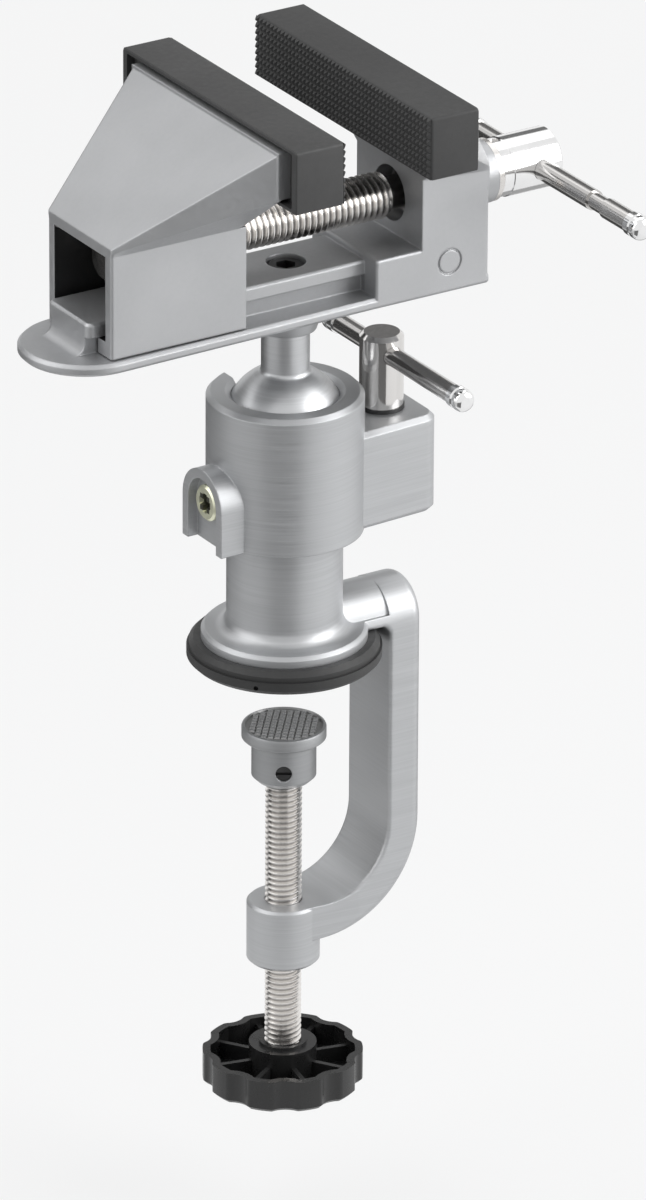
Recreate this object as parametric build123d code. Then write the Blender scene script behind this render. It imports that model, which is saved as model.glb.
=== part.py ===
from build123d import *
import os
from math import cos, radians, sin, sqrt

# A small bench vise on a ball joint, held to a table edge by its own C-clamp.
# Millimetres. The origin is the centre of the rubber ring's underside, which is where
# the vise sits on the table. +Z is up the column, +X runs along the vise screw towards
# its handle, and the ball's tilting slot opens towards +Y.

# ---- clearances ----
fit = 0.05            # radial running fit of a shaft in its bore
slip = 0.02           # radial gap of two pieces pressed or screwed together
gap = 0.3             # gap between faces of bodies that move past each other
ball_gap = 0.08       # play of the ball in its seats
passing = 0.1         # by how much the socket's bore lets the ball through from below

# ---- threads ----
screw_r = 5.1         # vise screw, M10
clamp_thread_r = 4.0  # clamp screw, M8
bolt_r = 2.5          # bolt of the ball stud, M5
friction_r = 2.0      # friction screw, M4
grub_r = 1.75         # set screw of the pad

# ---- column and rubber ring ----
column_r = 12.55
column_h = 37.1
column_edge = 0.5
column_fillet = 3.2
flange_reach = 5.45
flange_h = 2.5
flange_edge = 0.8
ring_h = 5.0
ring_seat = 2.55      # how much wider the ring's hole is than the column
ring_w = 6.0
ring_edge = 1.0
ring_bead = 0.5       # how far the ring's lower half stands out past its upper half
ring_bead_h = 2.9
ring_vent_r = 0.55    # blind moulding vent in the ring's side
ring_vent_depth = 1.2
ring_vent_azimuth = -138.5
flange_r = column_r + flange_reach
ring_hole_r = column_r + ring_seat
ring_r = ring_hole_r + ring_w
flange_top = ring_h + flange_h
column_top = flange_top + column_h

# ---- C-frame ----
arm_half_width = 8.5
arm_rise = 5.9        # height of the arched crown over the flange
crown_half_width = 7.6   # of the arched bar between the column and the spine
spine_clear = 0.5     # between the ring and the spine
spine_t = 8.4
spine_corner_in = 1.6
spine_edge_r = 2.4
spine_edge_in = 0.9
bow_x = 5.5           # centre of the bow that carries the spine round to the boss
bow_z = -41.7
bow_taper_x = 14.0    # where the bow begins to narrow towards the boss
boss_r = 8.0
boss_h = 14.2
boss_inset = 0.7      # of the bow's sides where they run into the boss
boss_edge = 0.6
arm_top = flange_top + arm_rise
arm_under = ring_h
spine_in = ring_r + spine_clear
spine_out = spine_in + spine_t
boss_top = bow_z - (spine_in - bow_x)
boss_bottom = boss_top - boss_h

# ---- pressure pad ----
pad_top = -16.2       # the pad's place under the table at rest
pad_r = 9.2
pad_h = 12.8
pad_disc_h = 2.9
pad_hub_r = 7.04
pad_chamfer = 1.2
pad_edge = 0.4
pad_roof = 3.4        # metal left over the screw's end
pin_r = 3.2           # turned end of the clamp screw inside the pad
pin_groove_r = 2.3
groove_w = 2.4        # width of the pin's groove
grub_rise = 4.0       # of the set screw over the pad's lower face
grub_azimuth = -122.0
grub_sink = 0.5
grub_slot_w = 0.6
grub_slot_depth = 0.7
pad_bottom = pad_top - pad_h
grub_z = pad_bottom + grub_rise

# ---- knob ----
knob_reach = 22.1     # of the screw between the boss and the knob's rim
knob_r = 17.5
knob_h = 7.3
knob_lobes = 10
knob_notch_r = 4.2
knob_notch_depth = 1.1
knob_lobe_round = 1.6
knob_edge = 0.8
knob_turn = -12.0
knob_wall = 1.7
knob_floor = 2.2
knob_hub_r = 7.4
knob_hub_rise = 1.8   # of the hub over the rim
knob_collar_r = 5.2   # low collar of the hub round the screw
knob_collar_h = 0.6
knob_ribs = 8
knob_rib_t = 1.1
knob_rib_drop = 1.6
knob_top = boss_bottom - knob_reach
knob_low = knob_top - knob_h
knob_hub_top = knob_top + knob_hub_rise

# ---- ball, its seat in the column and the bush ----
ball_r = 13.2
pocket_depth = 5.7
pocket_wall = 3.15
seat_t = 2.72         # of the seat under the ball
seat_h = 4.3
seat_edge = 0.4
bush_t = 0.68
bush_end_gap = 0.4
seat_r = column_r - pocket_wall
pocket_floor = column_top - pocket_depth
ball_z = pocket_floor + seat_t + ball_gap + ball_r

# ---- ball socket ----
socket_wall = 3.7
socket_lap = 14.0     # how far the socket reaches down over the column
socket_edge = 1.0
lip_angle = 28.8      # above the ball's equator, where its seat in the rim ends
lip_h = 1.0           # chamfered mouth over the seat
lip_flare = 1.26
neck_r = 5.24
notch_gap = 1.0       # between the neck and the sides of the tilting slot
notch_round = 0.9
socket_bore_r = max(ball_r + passing, column_r + fit + bush_t + slip)
socket_r = socket_bore_r + socket_wall
socket_bottom = column_top - socket_lap
lip_r = (ball_r + ball_gap) * cos(radians(lip_angle))
lip_z = ball_z + (ball_r + ball_gap) * sin(radians(lip_angle))
socket_top = lip_z + lip_h
notch_half = neck_r + notch_gap

# ---- friction screw in its hood ----
hood_r = 7.9
hood_wall = 2.2
hood_stand = 3.8      # of the hood's rim over the socket
hood_floor_stand = 1.4
friction_rise = 9.8
friction_head_r = 4.0
friction_head_h = 1.7
friction_head_edge = 0.5
groove_depth = 1.1    # groove of the column that the friction screw runs in
cross_size = 3.6
cross_depth = 1.3
cross_arm = 0.8       # width of the cross's arms
cross_taper = 18.0
hood_front = -socket_r - hood_stand
hood_floor = -socket_r - hood_floor_stand
friction_z = socket_bottom + friction_rise
groove_half = friction_r + gap
groove_r = column_r - groove_depth

# ---- lever that locks the ball ----
shank_r = 4.0
post_wall = 6.85      # between the socket's bore and the post's bore
post_r = 4.8
post_h = 16.5
post_chamfer = 0.9
lug_end = 8.8         # of the lug past the post
lug_half_in = 12.0
lug_half_out = 10.0
lug_corner_r = 4.0
lug_edge = 1.1
lug_h = 22.5
washer_h = 0.9
washer_rim = 0.2
cam_drop = 7.7        # of the cam under the ball's centre
cam_half = 2.7
cam_r = 3.4
cam_throw = 0.35
lock_pin_r = 2.5
lock_nose = 0.06      # gap between the pin's nose and the ball
clip_r = 5.6
clip_h = 0.8
clip_neck_r = 3.2
clip_eye_r = 1.0
clip_eye_at = 3.6     # of the eyes beside the post
clip_mouth = 2.56     # half width of the clip's mouth
post_tail = 1.0
clamp_bar_r = 2.15
clamp_bar_drop = 4.2  # of the bar under the post's top
clamp_bar_from = -34.0
clamp_bar_to = 21.5
post_x = socket_bore_r + post_wall + fit + shank_r
lug_x = post_x + lug_end
lug_top = socket_bottom + lug_h
head_low = lug_top + washer_h
post_top = head_low + post_h
cam_z = ball_z - cam_drop
clip_low = socket_bottom - fit - clip_h
bar_z = post_top - clamp_bar_drop

# ---- caps of both bars ----
cap_over = 0.35       # how much thicker a cap is than its bar
cap_len = 4.8
cap_dome = 1.6
cap_waist = 0.35      # groove behind the cap's domed end
cap_waist_at = 1.2
spigot_r = 1.4
spigot_len = 2.2

# ---- ball stud and its bolt ----
neck_len = 8.9
neck_fillet = 1.2
neck_edge = 0.4
bolt_len = 15.0       # of thread in the stud
bolt_head_r = 4.1
bolt_head_h = 4.4
bolt_hex = 4.0
bolt_hex_depth = 2.4
bolt_edge = 0.4
stud_washer_h = 0.8
stud_top = ball_z + ball_r + neck_len
bolt_end = stud_top - bolt_len

# ---- vise body: base plate, rail and fixed jaw, upwards ----
stud_boss_h = 5.15
stud_boss_r = 8.3
stud_boss_low_r = 6.7
plate_t = 2.6
plate_edge = 0.7
rail_h = 7.2
rail_lip_h = 3.2
rail_half = 8.4
rail_undercut = 1.5
rail_nose_r = 1.6
rail_edge = 0.5
rail_toe_r = 2.4
rail_root = 0.5       # how far the rail's web reaches into the base plate
counterbore_lift = 1.2   # of its floor over the base plate
counterbore_wall = 0.25
screw_rise = 10.2     # of the vise screw over the rail
shoulder_rise = 6.1   # of the castings' shoulders over the screw
roof_rise = 1.7
cheek_rise = 1.2      # where the cheeks start to spread at the fixed jaw's face
flare_sink = 4.0      # how far the flared heads reach down into the bodies they grow from
step_rise = 1.4       # of the fixed jaw's step over the rail
plate_bottom = stud_top + fit + stud_boss_h
plate_top = plate_bottom + plate_t
rail_top = plate_top + rail_h
rail_under = rail_top - rail_lip_h
counterbore_floor = plate_top + counterbore_lift
counterbore_r = bolt_head_r + counterbore_wall
screw_z = rail_top + screw_rise
shoulder_z = screw_z + shoulder_rise
roof_z = shoulder_z + roof_rise
body_step_z = rail_top + step_rise

# ---- vise body, lengthwise ----
jaw_face_x = 25.9     # back of the fixed jaw's opening
body_depth = 16.8
body_step = 11.4      # of the low step in front of the fixed jaw
body_half = 13.1
back_boss_h = 6.7
back_boss_wall = 2.95
jaw_half = 29.5       # half width of the cast jaw plates
jaw_plate_h = 10.5
jaw_plate_reach = 9.55   # how far the plates reach into their covers
fixed_plate_rise = 12.9
side_mark_r = 3.0
side_mark_w = 0.45
side_mark_depth = 0.35
side_mark_in = 7.0    # from the fixed jaw's face
side_mark_rise = 4.6  # over the base plate
edge_round = 0.6      # small rounds of the castings' long edges
body_back_x = jaw_face_x + body_depth
body_step_x = jaw_face_x - body_step
back_boss_x = body_back_x + back_boss_h
side_mark_x = jaw_face_x + side_mark_in
side_mark_z = plate_top + side_mark_rise
fixed_plate_low = shoulder_z + fixed_plate_rise
cheek_z = shoulder_z + cheek_rise

# ---- moving jaw ----
jaw_place = -19.3     # of the moving jaw's plate at rest
slide_len = 31.6
slide_nose = 1.5      # of the slide in front of the plate's back
slide_gap = 0.25      # between the slide and the base plate
slide_inset = 0.2     # of its sides from the body's sides
slide_wall = 2.5
slide_roof_t = 2.3
slide_flare_t = 2.76  # of the roof where it has risen
slide_ceiling_t = 1.0
lip_gap = 0.5         # between the slide's lips and the rail's web
lip_play = 0.4        # under the rail's overhang
rail_play = 0.6       # over the rail
nut_len = 10.2
moving_plate_rise = 12.2
tongue = 1.4          # from the slide's back to the centre of the plate's rounded end
tongue_over = 1.3     # how much wider the plate's end is than the body
rail_over = 3.0       # of the rail past the slide's back
slide_back_x = jaw_place - slide_len
slide_front_x = jaw_place + slide_nose
web_back_x = jaw_place - nut_len
slide_half = body_half - slide_inset
slide_inner = slide_half - slide_wall
slide_bottom = plate_top + slide_gap
rail_web_half = rail_half - rail_undercut
lip_half = rail_web_half + lip_gap
lip_top = rail_under - lip_play
web_low = rail_top + rail_play
moving_plate_low = shoulder_z + moving_plate_rise
plate_end_x = slide_back_x + tongue
plate_end_r = body_half + tongue_over
rail_end_x = slide_back_x - rail_over

# ---- rubber jaw covers ----
cover_end = 5.5       # of the cover past the plate's ends
cover_wall = 1.8      # under the plate
cover_top = 1.9       # over the plate
cover_face = 2.95     # in front of the plate
cover_mouth = 2.0     # depth of the wider mouth round the plate
cover_mouth_wall = 0.9
cover_mouth_end = 1.8
cover_edge = 0.45
cover_half = jaw_half + cover_end
cover_h = cover_wall + jaw_plate_h + cover_top
cover_t = jaw_plate_reach + cover_face
fixed_cover_x = jaw_face_x - fit
moving_cover_x = jaw_place + fit

# ---- vise screw and its nut ----
screw_tail = 5.5      # from the slide's back to the screw's end
screw_point = 1.0
thread_runout = 1.7   # from the thread's end to the fixed jaw's face
relief_depth = 1.5
shoulder_in = 3.7     # of the shoulder behind the fixed jaw's face
shoulder_h = 1.4
shoulder_bore = 1.1   # how much wider than the screw the recess for the shoulder is
journal_step = 1.1
nut_wall = 2.35
nut_flange = 1.1
nut_flange_h = 1.8
screw_end_x = slide_back_x + screw_tail
thread_end_x = jaw_face_x - thread_runout
shoulder_x = jaw_face_x + shoulder_in
relief_r = screw_r - relief_depth
journal_r = screw_r - journal_step
front_bore_r = screw_r + shoulder_bore
nut_r = screw_r + fit + nut_wall
nut_flange_r = nut_r + nut_flange
back_boss_r = journal_r + fit + back_boss_wall

# ---- screw head and its handle bar ----
thrust_washer_h = 1.2
washer_over = 0.5     # how much wider the washer is than the collar
collar_wall = 2.4
collar_len = 2.9
collar_edge = 0.4
head_r = 6.6
head_edge = 0.7
head_pin_r = 1.0
head_pin_sink = 0.4
handle_in = 7.1       # of the handle behind the collar
head_end = 5.3        # of the head past the handle
handle_web = 0.4      # between the journal's end and the handle's bore
screw_bar_r = 2.3
screw_bar_from = -46.0
screw_bar_to = 24.0
bar_neck_depth = 0.4
bar_neck_at = 14.3    # distance of the turned neck from the bar's tip
bar_neck_len = 5.4
collar_x = back_boss_x + thrust_washer_h + 2 * fit + collar_len
handle_x = collar_x + handle_in
head_x = handle_x + head_end
journal_end_x = handle_x - screw_bar_r - handle_web
collar_r = journal_r + collar_wall
thrust_washer_r = collar_r + washer_over


# ---- helpers ----
def rod(radius, low, high, x=0.0, y=0.0):
    """Upright cylinder between two heights."""
    return Pos(x, y, (low + high) / 2) * Cylinder(radius, high - low)


def rod_x(radius, start, end, y=0.0, z=0.0):
    """Cylinder along X between two places."""
    return Pos((start + end) / 2, y, z) * Rot(0, 90, 0) * Cylinder(radius, end - start)


def rod_y(radius, start, end, x=0.0, z=0.0):
    """Cylinder along Y between two places."""
    return Pos(x, (start + end) / 2, z) * Rot(90, 0, 0) * Cylinder(radius, end - start)


def block(x0, x1, y0, y1, z0, z1):
    """Box given by its faces."""
    return Pos((x0 + x1) / 2, (y0 + y1) / 2, (z0 + z1) / 2) * Box(x1 - x0, y1 - y0, z1 - z0)


def turned(points):
    """Solid of revolution about Z from its half section, given as (radius, height)."""
    outline = Polyline(*[(r, 0, z) for r, z in points], close=True)
    return revolve(make_face(outline), Axis.Z)


def upright(points, low, high):
    """Solid with upright walls over a plan outline."""
    face = make_face(Polyline(*[(x, y, low) for x, y in points], close=True))
    return extrude(face, high - low, dir=(0, 0, 1))


def lofted(sections):
    """Straight-sided loft through YZ outlines, each given as (x, points)."""
    faces = []
    for x, points in sections:
        faces.append(make_face(Polyline(*[(x, y, z) for y, z in points], close=True)))
    return loft(faces, ruled=True)


def mirrored(points):
    """Closes a half outline (y >= 0, listed from bottom to top) with its mirror image."""
    return points + [(-y, z) for y, z in reversed(points)]


def rectangle(x0, x1, y0, y1):
    """Flat rectangle given by its sides."""
    return Pos((x0 + x1) / 2, (y0 + y1) / 2) * Rectangle(x1 - x0, y1 - y0)


def arch(half_width, crown, low):
    """Outline in the YZ plane: upright sides under a half round crown."""
    spring = crown - half_width
    outline = Pos(0, spring) * Circle(half_width)
    outline += rectangle(-half_width, half_width, min(low, spring) - half_width, spring)
    return outline & rectangle(-half_width, half_width, low, crown)


def near(value, place):
    """Whether a coordinate lies at a place."""
    return abs(value - place) < 0.01


def circles_at(solid, height, radius):
    """Circular edges of a solid at one height and radius."""
    found = solid.edges().filter_by(GeomType.CIRCLE)
    return [e for e in found if near(e.center().Z, height) and near(e.radius, radius)]


# ---- table clamp ----
def column():
    """Round column with its flange, spigot for the ring, groove and pocket for the ball seat."""
    solid = turned(
        [
            (0, 0),
            (ring_hole_r - fit, 0),
            (ring_hole_r - fit, ring_h),
            (flange_r, ring_h),
            (flange_r, flange_top),
            (column_r, flange_top),
            (column_r, column_top),
            (0, column_top),
        ]
    )
    solid = fillet(circles_at(solid, flange_top, column_r), column_fillet)
    solid = chamfer(circles_at(solid, flange_top, flange_r), flange_edge)
    solid = chamfer(circles_at(solid, column_top, column_r), column_edge)
    low = friction_z - groove_half
    high = friction_z + groove_half
    solid -= rod(column_r + 1, low, high) - rod(groove_r, low, high)
    return solid - rod(seat_r + slip, pocket_floor, column_top + 1)


def spine():
    """Arched spine of the C-frame, the web to the flange and the bow back under the column."""
    inner = spine_in - bow_x
    outer = spine_out - bow_x
    bow = Pos(bow_x, bow_z) * (Circle(outer) - Circle(inner))
    bow &= rectangle(bow_x, spine_out, bow_z - outer, bow_z)
    outline = rectangle(spine_in, spine_out, bow_z, arm_top)
    outline += rectangle(0, spine_out, arm_under, flange_top)
    corner = [v for v in outline.vertices() if near(v.X, spine_in) and near(v.Y, arm_under)]
    outline = fillet(corner, spine_corner_in)
    outline += bow
    outline += rectangle(0, bow_x, bow_z - outer, bow_z - inner)
    solid = extrude(Plane.XZ * outline, arm_half_width, both=True)
    crown = Plane.YZ * arch(arm_half_width, arm_top, bow_z - outer - 1)
    solid &= extrude(crown, spine_out + 1)
    for place, size in ((spine_out, spine_edge_r), (spine_in, spine_edge_in)):
        sides = [e for e in solid.edges().filter_by(Axis.Z) if near(e.center().X, place)]
        solid = fillet([e for e in sides if e.length > spine_t], size)
    end_half = boss_r - boss_inset
    plan = [(0, end_half), (bow_taper_x, arm_half_width), (spine_out + 1, arm_half_width)]
    plan = [(x, -y) for x, y in plan] + plan[::-1]
    return solid & upright(plan, bow_z - outer - 1, arm_top + 1)


def arm():
    """C-shaped arm with the arched bar from the column to the spine."""
    bar = extrude(Plane.YZ * arch(crown_half_width, arm_top, arm_under), spine_in + 1)
    return spine() + bar


def clamp_frame():
    """Cast C-frame with its column and the threaded boss under the table."""
    boss = rod(boss_r, boss_bottom, boss_top)
    boss = chamfer(circles_at(boss, boss_bottom, boss_r) + circles_at(boss, boss_top, boss_r), boss_edge)
    in_column = rod(column_r - 1, pocket_floor, arm_top + column_top)
    solid = (arm() - in_column) + column() + boss
    return solid - rod(clamp_thread_r + fit, boss_bottom - 1, boss_top + boss_r)


def table_ring():
    """Rubber ring that the flange presses on the table, with a bead and a moulding vent."""
    solid = rod(ring_r, 0, ring_bead_h) + rod(ring_r - ring_bead, 0, ring_h)
    solid = chamfer(circles_at(solid, 0, ring_r), ring_edge)
    solid = chamfer(circles_at(solid, ring_h, ring_r - ring_bead), ring_edge)
    solid -= rod(ring_hole_r, -1, ring_h + 1)
    vent = rod_x(ring_vent_r, ring_r - ring_vent_depth, ring_r + 1, z=ring_bead_h / 2)
    return solid - Rot(0, 0, ring_vent_azimuth) * vent


def clamp_screw():
    """Clamp screw: thread, and the turned pin with its groove that the pad turns on."""
    seat = knob_low + knob_floor + slip
    pin_low = pad_bottom - gap
    pin_top = pad_top - pad_roof - gap
    groove_low = grub_z - groove_w / 2
    groove_high = grub_z + groove_w / 2
    return turned(
        [
            (0, seat),
            (clamp_thread_r, seat),
            (clamp_thread_r, pin_low),
            (pin_r, pin_low),
            (pin_r, groove_low),
            (pin_groove_r, groove_low),
            (pin_groove_r, groove_high),
            (pin_r, groove_high),
            (pin_r, pin_top),
            (0, pin_top),
        ]
    )


def pressure_pad():
    """Round pad that presses up against the table, carried on the screw's pin."""
    disc_low = pad_top - pad_disc_h
    solid = rod(pad_r, disc_low, pad_top) + rod(pad_hub_r, pad_bottom, disc_low)
    solid = chamfer(circles_at(solid, pad_bottom, pad_hub_r), pad_chamfer)
    solid = chamfer(circles_at(solid, pad_top, pad_r), pad_edge)
    solid -= rod(pin_r + fit, pad_bottom - 1, pad_top - pad_roof)
    hole = rod_x(grub_r + slip, pin_r - 1, pad_hub_r + 1, z=grub_z)
    return solid - Rot(0, 0, grub_azimuth) * hole


def pad_grub_screw():
    """Slotted set screw whose tip runs in the groove of the clamp screw's pin."""
    outside = pad_hub_r - grub_sink
    root = pin_r + fit
    solid = rod_x(grub_r, root, outside, z=grub_z)
    solid += rod_x(groove_w / 2 - 4 * fit, pin_groove_r + 2 * fit, root, z=grub_z)
    slot = grub_slot_w / 2
    solid -= block(outside - grub_slot_depth, outside + 1, -pad_hub_r, pad_hub_r, grub_z - slot, grub_z + slot)
    return Rot(0, 0, grub_azimuth) * solid


def knob_outline(inset):
    """Lobed outline of the knob, drawn in from its edge."""
    notch_at = knob_r - knob_notch_depth + knob_notch_r
    outline = Circle(knob_r - inset)
    for place in PolarLocations(notch_at, knob_lobes, start_angle=knob_turn):
        outline -= place * Circle(knob_notch_r + inset)
    if inset < knob_lobe_round:
        outline = fillet(outline.vertices(), knob_lobe_round - inset)
    return outline


def clamp_knob():
    """Lobed plastic knob, open towards the vise, with a hub and radial ribs."""
    floor = knob_low + knob_floor
    solid = extrude(Pos(0, 0, knob_low) * knob_outline(0), knob_h, dir=(0, 0, 1))
    solid = chamfer(solid.edges().group_by(Axis.Z)[0], knob_edge)
    solid -= extrude(Pos(0, 0, floor) * knob_outline(knob_wall), knob_h, dir=(0, 0, 1))
    rib_top = knob_top - knob_rib_drop
    ribs = Rectangle(knob_rib_t, knob_rib_t)
    for place in PolarLocations(0, knob_ribs, start_angle=knob_turn):
        ribs += place * Pos(knob_r / 2, 0) * Rectangle(knob_r, knob_rib_t)
    ribs &= knob_outline(knob_wall / 2)
    solid += extrude(Pos(0, 0, floor) * ribs, rib_top - floor, dir=(0, 0, 1))
    collar_top = knob_hub_top + knob_collar_h
    solid += rod(knob_hub_r, floor, knob_hub_top)
    solid += rod(knob_collar_r, floor, collar_top)
    return solid - rod(clamp_thread_r + slip, floor, collar_top + 1)


# ---- ball socket and what it holds ----
def lever_lug():
    """Lug beside the socket that carries the locking lever."""
    outline = [(0, -lug_half_in), (lug_x, -lug_half_out), (lug_x, lug_half_out), (0, lug_half_in)]
    lug = upright(outline, socket_bottom, lug_top)
    corners = [e for e in lug.edges().filter_by(Axis.Z) if near(e.center().X, lug_x)]
    lug = fillet(corners, lug_corner_r)
    rims = lug.edges().group_by(Axis.Z)
    rims = [e for e in rims[0] + rims[-1] if e.center().X > socket_r / 2]
    return chamfer(rims, lug_edge)


def screw_hood():
    """Arched hood round the friction screw, open below."""
    hood = block(hood_front, 0, -hood_r, hood_r, socket_bottom, friction_z)
    return hood + rod_x(hood_r, hood_front, 0, z=friction_z)


def hood_recess():
    """Space inside the hood that the friction screw's head stands in."""
    recess_r = hood_r - hood_wall
    recess = block(hood_front - 1, hood_floor, -recess_r, recess_r, socket_bottom - 1, friction_z)
    return recess + rod_x(recess_r, hood_front - 1, hood_floor, z=friction_z)


def ball_space():
    """Bore that lets the ball in from below, its round seat and the mouth in the rim."""
    mouth = turned(
        [
            (0, lip_z),
            (lip_r, lip_z),
            (lip_r + lip_flare, socket_top),
            (lip_r + lip_flare, socket_top + 1),
            (0, socket_top + 1),
        ]
    )
    return rod(socket_bore_r, socket_bottom - 1, ball_z) + mouth + Pos(0, 0, ball_z) * Sphere(ball_r + ball_gap)


def ball_socket():
    """Cast housing: bore for the column and the ball, tilting slot, lever lug and screw hood."""
    solid = rod(socket_r, socket_bottom, socket_top)
    solid = chamfer(circles_at(solid, socket_top, socket_r), socket_edge)
    solid += lever_lug()
    solid += screw_hood()
    solid -= hood_recess()
    solid -= rod_x(friction_r + fit, hood_front, 0, z=friction_z)
    slot = rod_y(notch_half, 0, socket_r + 1, z=ball_z)
    slot += block(-notch_half, notch_half, 0, socket_r + 1, ball_z, socket_top + 1)
    solid -= slot
    horns = [e for e in solid.edges().filter_by(Axis.Z) if e.center().Z > ball_z]
    horns = [e for e in horns if near(abs(e.center().X), notch_half)]
    solid = fillet([e for e in horns if e.center().Y > socket_r / 2], notch_round)
    solid -= ball_space()
    solid -= rod(shank_r + fit, socket_bottom - 1, lug_top + 1, x=post_x)
    return solid - rod_x(lock_pin_r + fit, 0, post_x, z=cam_z)


def column_bush():
    """Thin sleeve between the column and the wider bore that lets the ball in from below."""
    top = column_top - bush_end_gap
    solid = rod(socket_bore_r - slip, socket_bottom + 2 * bush_end_gap, top)
    solid -= rod(column_r + fit, socket_bottom, top + 1)
    return solid - rod_x(friction_r + fit, -socket_bore_r - 1, 0, z=friction_z)


def cross_recess(top):
    """Tapered cross recess of a screw head that faces +Z."""
    cross = Rectangle(cross_size, cross_arm) + Rectangle(cross_arm, cross_size)
    return extrude(Pos(0, 0, top - cross_depth) * cross, cross_depth + 1, taper=-cross_taper)


def friction_screw():
    """Cross-head screw that keeps the socket on the column and sets how stiffly it turns."""
    head_back = -hood_floor
    head_top = head_back + friction_head_h
    head = rod(friction_head_r, head_back, head_top)
    head = chamfer(circles_at(head, head_top, friction_head_r), friction_head_edge)
    solid = head + rod(friction_r, groove_r + 4 * fit, head_back)
    solid -= cross_recess(head_top)
    return Pos(0, 0, friction_z) * Rot(0, -90, 0) * solid


def ball_seat():
    """Cupped seat in the column's end that the ball rests in."""
    solid = rod(seat_r, pocket_floor, pocket_floor + seat_h)
    solid -= Pos(0, 0, ball_z) * Sphere(ball_r + ball_gap)
    return chamfer(circles_at(solid, pocket_floor, seat_r), seat_edge)


def lock_pin():
    """Brake pin between the lever's cam and the ball, hollowed to fit the ball."""
    tail = post_x - cam_r - cam_throw - lock_nose
    solid = rod_x(lock_pin_r, ball_r / 2, tail, z=cam_z)
    return solid - Pos(0, 0, ball_z) * Sphere(ball_r + lock_nose)


def clamp_post():
    """Upright post of the locking lever: cross-drilled head, shank and cam."""
    head = rod(post_r, head_low, post_top, x=post_x)
    head = chamfer(circles_at(head, post_top, post_r), post_chamfer)
    head -= rod_y(clamp_bar_r + fit, -post_r - 1, post_r + 1, x=post_x, z=bar_z)
    solid = head + rod(shank_r, clip_low - fit - post_tail, head_low, x=post_x)
    cam_space = rod(shank_r + 1, cam_z - cam_half, cam_z + cam_half, x=post_x)
    cam = rod(cam_r, cam_z - cam_half, cam_z + cam_half, x=post_x - cam_throw)
    solid -= cam_space - cam
    clip_space = rod(shank_r + 1, clip_low, clip_low + clip_h, x=post_x)
    return solid - (clip_space - rod(clip_neck_r, clip_low, clip_low + clip_h, x=post_x))


def post_washer():
    """Dark ring between the post's head and the lug."""
    solid = rod(post_r + washer_rim, lug_top, head_low, x=post_x)
    return solid - rod(shank_r + fit, lug_top - 1, head_low + 1, x=post_x)


def post_clip():
    """E-clip that keeps the post in the lug from below."""
    below = clip_low - 1
    above = clip_low + clip_h + 1
    solid = rod(clip_r, clip_low, clip_low + clip_h, x=post_x) - rod(clip_neck_r + slip, below, above, x=post_x)
    solid -= block(post_x, post_x + clip_r + 1, -clip_mouth, clip_mouth, below, above)
    for side in (-1, 1):
        solid -= rod(clip_eye_r, below, above, x=post_x - clip_eye_r, y=side * clip_eye_at)
    return solid


def bar_with_spigots(radius, start, end):
    """Round bar along Y, turned down at both ends for its caps."""
    solid = rod_y(radius, start + cap_len, end - cap_len)
    return solid + rod_y(spigot_r, start + cap_len - spigot_len, end - cap_len + spigot_len)


def bar_caps(bar_radius, start, end):
    """Pair of domed caps on a bar's ends, each with a turned waist."""
    radius = bar_radius + cap_over
    waist = cap_len - cap_dome - cap_waist_at
    section = turned(
        [
            (0, 0),
            (radius, 0),
            (radius, waist - cap_waist),
            (radius - cap_waist, waist),
            (radius, waist + cap_waist),
            (radius, cap_len),
            (0, cap_len),
        ]
    )
    cap = fillet(circles_at(section, cap_len, radius), cap_dome)
    cap -= rod(spigot_r + slip, -1, spigot_len + slip)
    low = Pos(0, start + cap_len, 0) * Rot(90, 0, 0) * cap
    high = Pos(0, end - cap_len, 0) * Rot(-90, 0, 0) * cap
    return Compound([low, high])


def clamp_bar():
    """Bar of the locking lever."""
    return Pos(post_x, 0, bar_z) * bar_with_spigots(clamp_bar_r, clamp_bar_from, clamp_bar_to)


def clamp_bar_caps():
    """Caps of the locking lever's bar."""
    return Pos(post_x, 0, bar_z) * bar_caps(clamp_bar_r, clamp_bar_from, clamp_bar_to)


# ---- ball stud ----
def ball_stud():
    """Ball with its neck, tapped from above for the bolt of the vise body."""
    solid = Pos(0, 0, ball_z) * Sphere(ball_r)
    solid += rod(neck_r, ball_z, stud_top)
    joint_z = ball_z + sqrt(ball_r**2 - neck_r**2)
    solid = fillet(circles_at(solid, joint_z, neck_r), neck_fillet)
    solid = chamfer(circles_at(solid, stud_top, neck_r), neck_edge)
    return solid - rod(bolt_r + slip, bolt_end - 1, stud_top + 1)


def stud_bolt():
    """Socket head bolt that holds the vise body on the stud."""
    under_head = counterbore_floor + stud_washer_h + fit
    head_top = under_head + bolt_head_h
    head = rod(bolt_head_r, under_head, head_top)
    head = chamfer(circles_at(head, head_top, bolt_head_r), bolt_edge)
    hexagon = RegularPolygon(bolt_hex / 2, 6, major_radius=False)
    head -= extrude(Pos(0, 0, head_top - bolt_hex_depth) * hexagon, bolt_head_h)
    return head + rod(bolt_r, bolt_end, under_head)


def stud_washer():
    """Washer under the bolt's head."""
    low = counterbore_floor + fit
    high = low + stud_washer_h
    return rod(bolt_head_r, low, high) - rod(bolt_r + slip, low - 1, high + 1)


# ---- vise body ----
def jaw_flare(back, front, plate_low):
    """Cast head that widens and rises from the narrow body to the jaw plate.

    back is (x, half width, shoulder, roof) where the head starts, and front is the same
    with the height where its cheeks begin to spread out to the plate's lower corners."""
    back_x, half, shoulder, roof = back
    front_x, front_shoulder = front
    low = shoulder - flare_sink
    narrow = mirrored([(half, low), (half, shoulder), (half, (shoulder + roof) / 2), (half, roof)])
    plate_high = plate_low + jaw_plate_h
    wide = mirrored([(half, low), (half, front_shoulder), (jaw_half, plate_low), (jaw_half, plate_high)])
    return lofted([(back_x, narrow), (front_x, wide)])


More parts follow.
